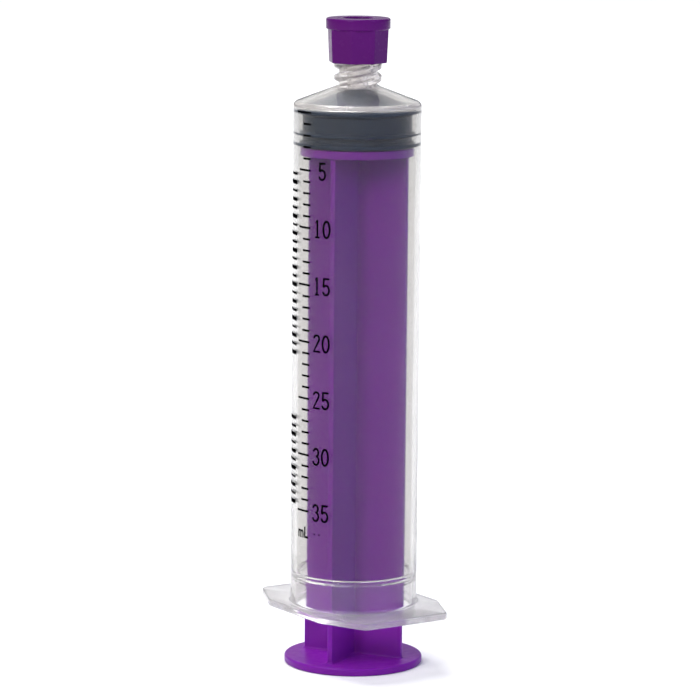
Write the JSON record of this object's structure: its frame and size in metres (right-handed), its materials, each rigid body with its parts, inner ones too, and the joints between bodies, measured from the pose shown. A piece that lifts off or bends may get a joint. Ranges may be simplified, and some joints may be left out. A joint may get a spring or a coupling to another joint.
{
  "type": "oral syringe",
  "caption": "Clear oral and enteral syringe with a cross-ribbed plunger rod, ribbed rubber stopper, finger flange, printed scale and screw-on tip cap.",
  "frame": {"origin": "middle of the thumb rest's underside, on the syringe's axis", "axes": "+Z along the axis from the thumb rest to the tip cap; +X to the right when the scale is at the front left"},
  "size_m": [0.0378, 0.0432, 0.1315],
  "materials": {
    "plunger_plastic": "semi-gloss moulded purple polypropylene",
    "stopper_rubber": "matt dark blue-grey rubber",
    "barrel_plastic": "clear, slightly milky polypropylene",
    "cap_plastic": "semi-gloss moulded dark purple plastic",
    "ink": "black printed ink"
  },
  "bodies": {
    "plunger": {"plunger_rod": "plunger_plastic"},
    "seal": {"stopper": "stopper_rubber"},
    "barrel_body": {"barrel": "barrel_plastic", "scale_lines": "ink", "scale_numerals": "ink", "unit_mark": "ink", "side_print": "ink"},
    "cap_core": {"cap_plug": "cap_plastic"},
    "cap_shell": {"tip_cap": "cap_plastic"}
  },
  "joints": [
    {"name": "rod_turn", "type": "hinge", "parent": "plunger", "child": "seal", "pos_m": [0, 0, 0.1059], "axis": [0, 0, 1], "continuous": true},
    {"name": "barrel_slide", "type": "slide", "parent": "seal", "child": "barrel_body", "axis": [0, 0, 1], "range_m": [0, 0.0845]},
    {"name": "cap_lift", "type": "slide", "parent": "barrel_body", "child": "cap_core", "axis": [0, 0, 1], "range_m": [0, 0.0075]},
    {"name": "cap_turn", "type": "hinge", "parent": "cap_core", "child": "cap_shell", "pos_m": [0, 0, 0.1281], "axis": [0, 0, 1], "range_deg": [0, 540]}
  ],
  "couplings": [
    {"joint": "cap_turn", "follows": "cap_lift", "rad_per_m": 1256.6}
  ]
}
